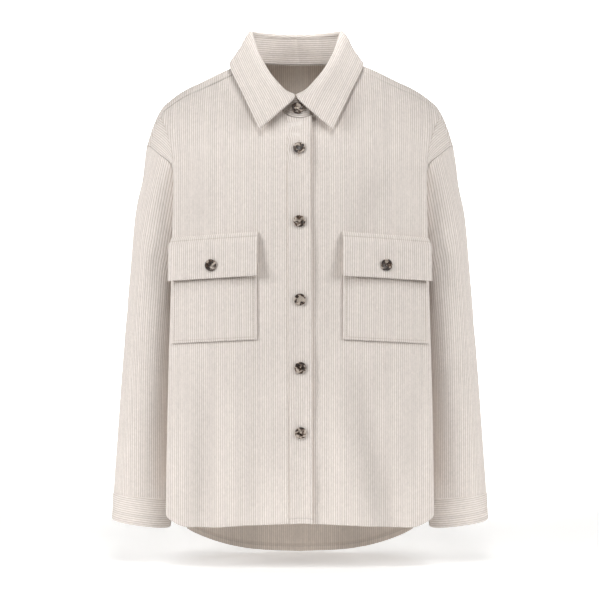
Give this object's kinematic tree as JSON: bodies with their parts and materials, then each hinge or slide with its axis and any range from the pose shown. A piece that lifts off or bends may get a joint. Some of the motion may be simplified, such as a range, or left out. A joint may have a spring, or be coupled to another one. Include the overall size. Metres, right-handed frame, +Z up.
{
  "type": "corduroy overshirt",
  "caption": "Corduroy overshirt filled out as when worn: pointed collar, buttoned front placket, flap pockets on the chest, long cuffed sleeves and a longer curved back hem.",
  "frame": {"origin": "middle of the base of the neck, between the shoulders that hold the shirt up", "axes": "+Z up, the front faces -Y, the wearer's right is -X"},
  "size_m": [0.5652, 0.2418, 0.8011],
  "materials": {
    "corduroy": "matte, ribbed pile",
    "horn": "polished, mottled brown"
  },
  "bodies": {
    "root": {"front_right": "corduroy", "front_left": "corduroy", "back": "corduroy", "sleeve_right": "corduroy", "sleeve_left": "corduroy", "cuff_right": "corduroy", "cuff_left": "corduroy", "collar_stand": "corduroy", "collar_leaf": "corduroy", "placket": "corduroy", "pocket_right": "corduroy", "pocket_left": "corduroy", "flap_right": "corduroy", "flap_left": "corduroy", "button_stand": "horn", "button_placket_1": "horn", "button_placket_2": "horn", "button_placket_3": "horn", "button_placket_4": "horn", "button_placket_5": "horn", "button_flap_right": "horn", "button_flap_left": "horn"}
  },
  "joints": []
}
